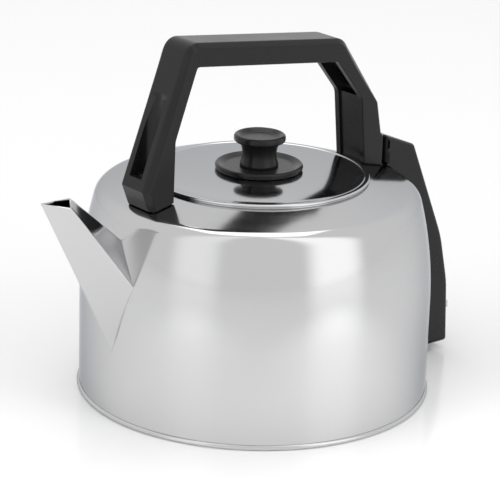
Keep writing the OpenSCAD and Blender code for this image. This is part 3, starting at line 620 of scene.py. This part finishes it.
def bent(corners, radii, steps=9):
    """An open line whose inner corners are rounded: each corner gives way to the circle that
    touches both sides, drawn from the tangent points' angles about its centre."""
    corners = np.asarray(corners, float)
    parts = [corners[:1]]
    for before, corner, after, radius in zip(corners, corners[1:], corners[2:], radii):
        a, b = unit(before - corner), unit(after - corner)
        half = math.acos(np.clip(a @ b, -1, 1)) / 2
        centre = corner + unit(a + b) * radius / math.sin(half)
        start = corner + a * radius / math.tan(half) - centre
        stop = corner + b * radius / math.tan(half) - centre
        first = math.atan2(start[1], start[0])
        swing = (math.atan2(stop[1], stop[0]) - first + math.pi) % (2 * math.pi) - math.pi
        parts.append(arc(centre, radius, first, first + swing, steps))
    return np.vstack(parts + [corners[-1:]])


def spaced(curve, steps):
    """The curve's points again at even steps along its length."""
    length = np.concatenate([[0], np.cumsum(np.linalg.norm(np.diff(curve, axis=0), axis=1))])
    at = np.linspace(0, length[-1], steps)
    return np.stack([np.interp(at, length, curve[:, i]) for i in range(curve.shape[1])], -1)


def upto(curve, point):
    """Row of a curve's point nearest to a given point."""
    return int(np.argmin(np.linalg.norm(curve - np.asarray(point), axis=1)))


knee_f, toe_f = (-80.0, mouth_z + 32.0), (-88.0, mouth_z + 6.0)
knee_r, inner_knee_f = (SEAM_X - 5.8, mouth_z + 32.0), (-FOOT_IN + 0.6, mouth_z + 32.0)
inner_knee_r, seam_foot = np.array([FOOT_IN - 4.4, mouth_z + 37.0]), (SEAM_X, seam_top)
outer_line = spaced(bent(
    [(-82.5, LOW_Z), toe_f, grip_a, grip_b, knee_r, (SEAM_X - 2.0, seam_top + 1.4), seam_foot,
     (SEAM_X, LOW_Z)],
    [1.6, 8.0, 9.0, 6.0, 2.0, 1.0]), HOOP_POINTS)
inner_line = spaced(bent(
    [(-FOOT_IN, LOW_Z), inner_knee_f, inner_a, inner_b, inner_knee_r, (FOOT_IN, LOW_Z)],
    [6.0, 2.0, 2.5, 8.0]), HOOP_POINTS)
outer_stops = [0, *[upto(outer_line, point) for point in (
    toe_f, knee_f, grip_a, grip_b, knee_r, seam_foot)], HOOP_POINTS - 1]
inner_stops = [0, *[upto(inner_line, point) for point in (
    (-FOOT_IN + 0.2, mouth_z + 7.0), inner_knee_f, inner_a, inner_b, inner_knee_r,
    (FOOT_IN - 1.8, seam_top + 2.0))], HOOP_POINTS - 1]
stations = [12, 26, 60, 100, 50, 30, 12]


def matched(curve, stops):
    """A curve re-spaced between its stops, so that outer and inner line have matching rows."""
    parts = [spaced(curve[a:b + 1], n + 1)[:-1] for a, b, n in zip(stops, stops[1:], stations)]
    return np.vstack(parts + [curve[-1:]])


half_w = HANDLE_W / 2
section = bent(
    [(0, 0), (0, half_w - CHAMFER), (CHAMFER, half_w), (20, half_w), (20, 0)],
    [1.4, 1.4, EDGE_ROUND], 5)
section = np.vstack([
    section[:1], [[0, half_w - CHAMFER - 1.2]], section[1:6], section[6:11],
    [[CHAMFER + 1.0, half_w], [4.4, half_w], [15.6, half_w], [20 - EDGE_ROUND - 0.5, half_w]],
    section[11:16], [[20, half_w - EDGE_ROUND - 0.5], [20, 0]]])
section = np.vstack([section, (section * [1, -1])[-2:0:-1]])


def hoop(outer, inner):
    """The section carried along the hoop. A point in its outer half keeps its depth from the
    outer line, and one in its inner half from the inner line, along the line that joins them."""
    way = unit(inner - outer)
    depth = section[:, 0][None, :, None]
    from_outer = outer[:, None] + way[:, None] * depth
    from_inner = inner[:, None] - way[:, None] * (20 - depth)
    flat = np.where(depth < 10, from_outer, from_inner)
    across = np.broadcast_to(section[:, 1], flat.shape[:2])
    return np.stack([flat[..., 0], across, flat[..., 1]], -1)


def stand_on_shoulder(top, low, rows):
    """Lines from one ring of points towards another, each stopped at the gasket's top face."""
    near, away = np.zeros(len(top)), np.ones(len(top))
    for _ in range(40):
        middle = (near + away) / 2
        point = top + (low - top) * middle[:, None]
        radius = np.hypot(point[:, 0], point[:, 1])
        high = np.where(radius < corner_tip[0], shoulder_z(radius), corner_centre[1] + np.sqrt(
            np.clip(CORNER_R**2 - (radius - corner_centre[0]) ** 2, 0, None)))
        free = point[:, 2] > high + GASKET_T / math.cos(SHOULDER_A)
        near, away = np.where(free, middle, near), np.where(free, away, middle)
    share = np.linspace(0, 1, rows)[:, None] * near
    return top + (low - top) * share[..., None]


hoop_grid = hoop(matched(outer_line, outer_stops), matched(inner_line, inner_stops))
first, last = stations[0], len(hoop_grid) - 1 - stations[-1]
front_foot = stand_on_shoulder(hoop_grid[first], hoop_grid[0], 8)[::-1]
rear_foot = stand_on_shoulder(hoop_grid[last], hoop_grid[-1], 8)
hoop_grid = np.concatenate([
    front_foot[:1] * 0 + front_foot[0].mean(0), front_foot[:-1], hoop_grid[first:last + 1],
    rear_foot[1:], rear_foot[:1] * 0 + rear_foot[-1].mean(0)])
handle = surface("handle_hoop", hoop_grid, ring=True)


def prism(outline, width):
    """A flat outline in the XZ plane made a width thick about y = 0, as a tool for cut()."""
    outline = np.asarray(outline, float)
    count = len(outline)
    sides = [np.insert(outline, 1, y, axis=1) for y in (-width / 2, width / 2)]
    ring = np.arange(count)
    walls = np.stack([ring, np.roll(ring, -1), np.roll(ring, -1) + count, ring + count], -1)
    mesh = bpy.data.meshes.new("tool")
    mesh.from_pydata((np.vstack(sides) * MM).tolist(), [],
                     [*walls.tolist(), ring[::-1].tolist(), (ring + count).tolist()])
    return finished("tool", mesh)


CHANNEL_W, CHANNEL_D, REBATE = 17.0, 11.0, 3.2
inner_heel = np.array([FOOT_IN, LOW_Z])
seat = np.array([FOOT_IN, mouth_z + 1.5])
hollow = prism([
    seat - [1, 0], inner_knee_r - [1, 0], np.array(inner_b) - [1, 1], np.array(inner_b) + [6, -1],
    inner_knee_r + [CHANNEL_D, 0], seat + [CHANNEL_D, 0]], CHANNEL_W)
rebate = prism([
    inner_heel - [1, 0], inner_knee_r - [1, 0],
    inner_knee_r + [REBATE, 0], inner_heel + [REBATE, 0]], CHANNEL_W)
POCKET_R, POCKET_LEAN = 5.4, math.radians(6)
pocket_foot = np.array([STUD_X[0], 0, mouth_z + 11.2])
u_angle = np.linspace(math.pi / 2, -math.pi / 2, 25)
u_bend = POCKET_R * np.stack([np.cos(u_angle), np.sin(u_angle)], -1)
u_shape = np.vstack([[-20, POCKET_R], u_bend, [-20, -POCKET_R]])
lean_x = np.array([math.cos(POCKET_LEAN), 0, -math.sin(POCKET_LEAN)])
lean_z = np.array([math.sin(POCKET_LEAN), 0, math.cos(POCKET_LEAN)])
u_ring = pocket_foot + u_shape[:, :1] * lean_x + u_shape[:, 1:] * np.array([0, 1.0, 0])
u_middle = u_ring * 0 + (u_ring[0] + u_ring[-1]) / 2 + lean_x
pocket_rows = np.stack([u_middle, u_ring, u_ring + 60 * lean_z, u_middle + 60 * lean_z])
cut(handle, hollow, rebate, surface("tool", pocket_rows, ring=True))
handle.data.materials.append(black)
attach(handle, "kettle")
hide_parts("handle")

# ---------------------------------------------------------------- rear housing
# A black shell moulded to the drum: narrow under the handle, spreading towards its foot. It
# covers the element's head, inlet, switch and lamp, and two screws hold it to the saddle.
HOUSE_REACH, HOUSE_FOOT_W, HOUSE_Z, HOUSE_T = 132.4, 25.0, 4.5, 2.2
HOUSE_GAP, CORNER_SOFT = 0.4, 2.4
ROCKER_Z, ROCKER_R, ROCKER_W = 54.0, 10.7, 14.2
INLET_W, INLET_H = 25.2, 17.0
house_top = np.array([SEAM_X + 0.4, seam_top - 0.1])
house_lip = np.array([HOUSE_REACH - 24.6, mouth_z + 2.7])
house_swell = np.array([HOUSE_REACH - 4.2, mouth_z - 55.3])
house_back = np.array([HOUSE_REACH, mouth_z - 84.3])
house_low = np.array([HOUSE_REACH - 1.4, HOUSE_Z])


def house_half(height):
    """Half width of the housing: it grows evenly from the lip down to the foot."""
    slope = (HOUSE_FOOT_W - HANDLE_W / 2) / (house_lip[1] - HOUSE_Z)
    return np.minimum(HANDLE_W / 2 + np.clip(house_lip[1] - height, 0, None) * slope, HOUSE_FOOT_W)


def drum_line():
    """Where a side of the housing meets the drum: the drum's profile, moved in to x at that y."""
    high = SEAM_X + 0.4
    profile = spaced(np.vstack([
        line([BODY_R, HOUSE_Z], [BODY_R, WALL_H], 10), arc(bow_centre, BOW_R, 0, bow_end, 40)[:-1],
        arc(corner_centre, CORNER_R, bow_end, corner_stop, 30),
        [[60, shoulder_z(60)]]]), 1200)
    across = house_half(profile[:, 1])
    x = np.sqrt(np.clip(profile[:, 0] ** 2 - across**2, 0, None)) + HOUSE_GAP
    keep = x > high
    return np.stack([x[keep], profile[keep, 1] + HOUSE_GAP * (profile[keep, 1] > 115)], -1)[::-1]


BACK_ROWS = 170
back_line = spaced(bent(
    [(SEAM_X + 0.4, mouth_z - 4.5), house_top, house_lip, house_swell, house_back, house_low,
     (BODY_R + 2.5, HOUSE_Z)],
    [1.0, 2.5, 60.0, 60.0, 2.2], 14), BACK_ROWS)
house_side = spaced(drum_line(), 900)
front_at = np.interp(np.linspace(0, 1, BACK_ROWS), [0, 0.081, 0.206, 0.519, 0.668, 0.855, 1],
                     [0, 0, 0.1, 0.43, 0.68, 1, 1])
side_at = np.linspace(0, 1, len(house_side))
front_line = np.stack([np.interp(front_at, side_at, house_side[:, i]) for i in range(2)], -1)
way_out = unit(np.stack([-np.gradient(back_line[:, 1]), np.gradient(back_line[:, 0])], -1))


def house_row(inset, soft):
    """Sections of the housing: along the near side to the back, round the soft corner as a
    quarter circle, across the back and forward again. y follows the half width at each height."""
    back = back_line - way_out * inset
    core = back - way_out * soft
    share = np.linspace(0, 1, 14)[None, :, None]
    side = front_line[:, None] * (1 - share) + core[:, None] * share
    side_y = house_half(side[..., 1]) - inset
    quarter = np.linspace(0, np.pi / 2, 7)[1:][None, :, None]
    corner = core[:, None] + way_out[:, None] * soft * np.sin(quarter)
    corner_y = house_half(corner[..., 1]) - inset - soft + soft * np.cos(quarter[..., 0])
    flat_share = np.linspace(1, 0, 5)[None, 1:]
    flat_y = corner_y[:, -1:] * flat_share
    flat = np.repeat(corner[:, -1:], 4, 1)
    half = np.concatenate([
        np.stack([side[..., 0], side_y, side[..., 1]], -1),
        np.stack([corner[..., 0], corner_y, corner[..., 1]], -1),
        np.stack([flat[..., 0], flat_y, flat[..., 1]], -1)], 1)
    return np.concatenate([half * mirror, half[:, -2::-1]], 1)


def shell(name, outer, inner):
    """Closed wall between two grids of the same size, joined along their four borders."""
    rows, columns = outer.shape[:2]
    index = np.arange(rows * columns).reshape(rows, columns)
    quads = np.stack([index[:-1, :-1], index[:-1, 1:], index[1:, 1:], index[1:, :-1]], -1).reshape(-1, 4)
    rim = np.concatenate([index[0], index[1:, -1], index[-1, -2::-1], index[-2:0:-1, 0]])
    count = rows * columns
    border = np.stack([rim, np.roll(rim, -1), np.roll(rim, -1) + count, rim + count], -1)
    mesh = bpy.data.meshes.new(name)
    mesh.from_pydata((np.vstack([outer.reshape(-1, 3), inner.reshape(-1, 3)]) * MM).tolist(), [],
                     [*quads.tolist(), *(quads[:, ::-1] + count).tolist(), *border.tolist()])
    return finished(name, mesh, 40)


housing = shell("housing_shell", house_row(0.0, CORNER_SOFT), house_row(HOUSE_T, 0.8))
frame_w, frame_h = ROCKER_W / 2 + 2.2, ROCKER_R + 2.6
FIX_Y, FIX_HOLE_R = 18.0, 1.7
LENS_R = 4.0
lens_z = ROCKER_Z + 24
lens_lean = math.atan2(house_swell[0] - house_lip[0], house_lip[1] - house_swell[1])
lens_x = house_lip[0] + (house_lip[1] - lens_z) * math.tan(lens_lean)
lens_way = np.array([math.cos(lens_lean), 0, math.sin(lens_lean)])
lens_seat = np.array([lens_x, 0, lens_z])


def window(x0, x1, half_y, z0, z1):
    """A rectangular block as a tool for cut()."""
    return prism([(x0, z0), (x1, z0), (x1, z1), (x0, z1)], 2 * half_y)


cut(housing,
    window(HOUSE_REACH - 8, HOUSE_REACH + 5, INLET_W / 2 + 2.2,
           HEAD_Z - INLET_H / 2 - 1.8, HEAD_Z + INLET_H / 2 + 1.8),
    window(HOUSE_REACH - 12, HOUSE_REACH + 5, frame_w, ROCKER_Z - frame_h, ROCKER_Z + frame_h),
    rod_tool(LENS_R + 0.05, lens_seat - 8 * lens_way, lens_seat + 8 * lens_way),
    *[rod_tool(FIX_HOLE_R, (110, y, HEAD_Z), (150, y, HEAD_Z)) for y in (FIX_Y, -FIX_Y)])
housing.data.materials.append(black)
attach(housing, "kettle")
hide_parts("rear_housing")

# ---------------------------------------------------------------- lamp lens
# A domed lens of clear red plastic, pressed into the housing above the switch.
dome = np.vstack([
    [[0, -2.0]], [[LENS_R, -2.0]], [[LENS_R, 0.1]],
    arc([LENS_R - 0.6, 0.2], 0.6, 0, math.pi * 0.42, 6),
    arc([0, -8.5], 9.3, math.asin((LENS_R - 0.7) / 9.3) * -1 + math.pi / 2, math.pi / 2, 10),
])
lens = lathe("lamp_dome", dome, closed=False, steps=64)
lens_turn = Matrix.Rotation(math.pi / 2 - lens_lean, 4, "Y")
lens.data.transform(Matrix.Translation(Vector(lens_seat) * MM) @ lens_turn)
lens_red = new_finish("lamp red", (0.55, 0.03, 0.02), roughness=0.08,
                      Specular_IOR_Level=0.5, Coat_Weight=0.6)
spot = place_in(lens_red)
prisms = spot.add("TexVoronoi", inputs={"Vector": spot, "Scale": 900.0})
facets = prisms.add("Bump", inputs={"Height": prisms, "Strength": 0.2, "Distance": 0.0003})
feed(lens_red, "Normal", facets)
lens.data.materials.append(lens_red)
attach(lens, "kettle")
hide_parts("indicator_lens")

# ---------------------------------------------------------------- switch and inlet
# The rocker is red gloss plastic in a black frame, and its lever and rod are natural nylon.
# The inlet is a black recess with three flat brass pins.
rocker_red = new_finish("rocker red", (0.42, 0.018, 0.014), roughness=0.2, Specular_IOR_Level=0.5)
mottled(rocker_red, 120.0, 0.16, 0.1, detail=2.0)
nylon = new_finish("natural nylon", (0.72, 0.70, 0.64), roughness=0.45)
mottled(nylon, 150.0, 0.38, 0.16, detail=2.0)
brass = new_finish("turned brass", (0.70, 0.50, 0.22), metallic=1.0, roughness=0.25)
mottled(brass, 180.0, 0.18, 0.18)


def wear(finish, *nodes):
    """Gives CAD nodes a finish in place of their plain one."""
    for node in nodes:
        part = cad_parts[node]
        part.data.materials.clear()
        part.data.materials.append(finish)


wear(black, "switch_frame", "inlet_shroud", "leg_liner", "rod_guide", "bimetal_holder")
wear(rocker_red, "rocker")
wear(nylon, "trip_lever", "trip_rod", "thermostat_block", "lamp_body", "steam_bush")
wear(brass, "inlet_pins", "element_head", "clamp_nut", "stud_nuts", "bimetal_disc")

# ---------------------------------------------------------------- screws, plates and seals
# Screws, washers and saddle are zinc-plated or blackened steel. Gaskets are black or red
# rubber, and the element's tube has a dull nickel sheath.
zinc = new_finish("zinc plate", (0.56, 0.57, 0.59), metallic=1.0, roughness=0.3)
mottled(zinc, 220.0, 0.22, 0.2)
sheath = new_finish("nickel sheath", (0.44, 0.44, 0.45), metallic=1.0, roughness=0.35)
mottled(sheath, 140.0, 0.26, 0.24, detail=4.0)
rubber = new_finish("black rubber", (0.016, 0.016, 0.017), roughness=0.7)
mottled(rubber, 300.0, 0.6, 0.2, detail=2.0)
red_rubber = new_finish("red rubber", (0.24, 0.06, 0.045), roughness=0.6)
mottled(red_rubber, 300.0, 0.5, 0.2, detail=2.0)

dark_steel = new_finish("blackened steel", (0.035, 0.035, 0.037), metallic=1.0, roughness=0.5)
mottled(dark_steel, 220.0, 0.42, 0.2)

wear(dark_steel, "front_screw", "rear_screw")
wear(zinc, "knob_screw", "knob_washer", "saddle_plate", "housing_screws")
wear(sheath, "element_tube")
wear(rubber, "foot_gaskets")
wear(red_rubber, "element_gasket", "stud_washers")
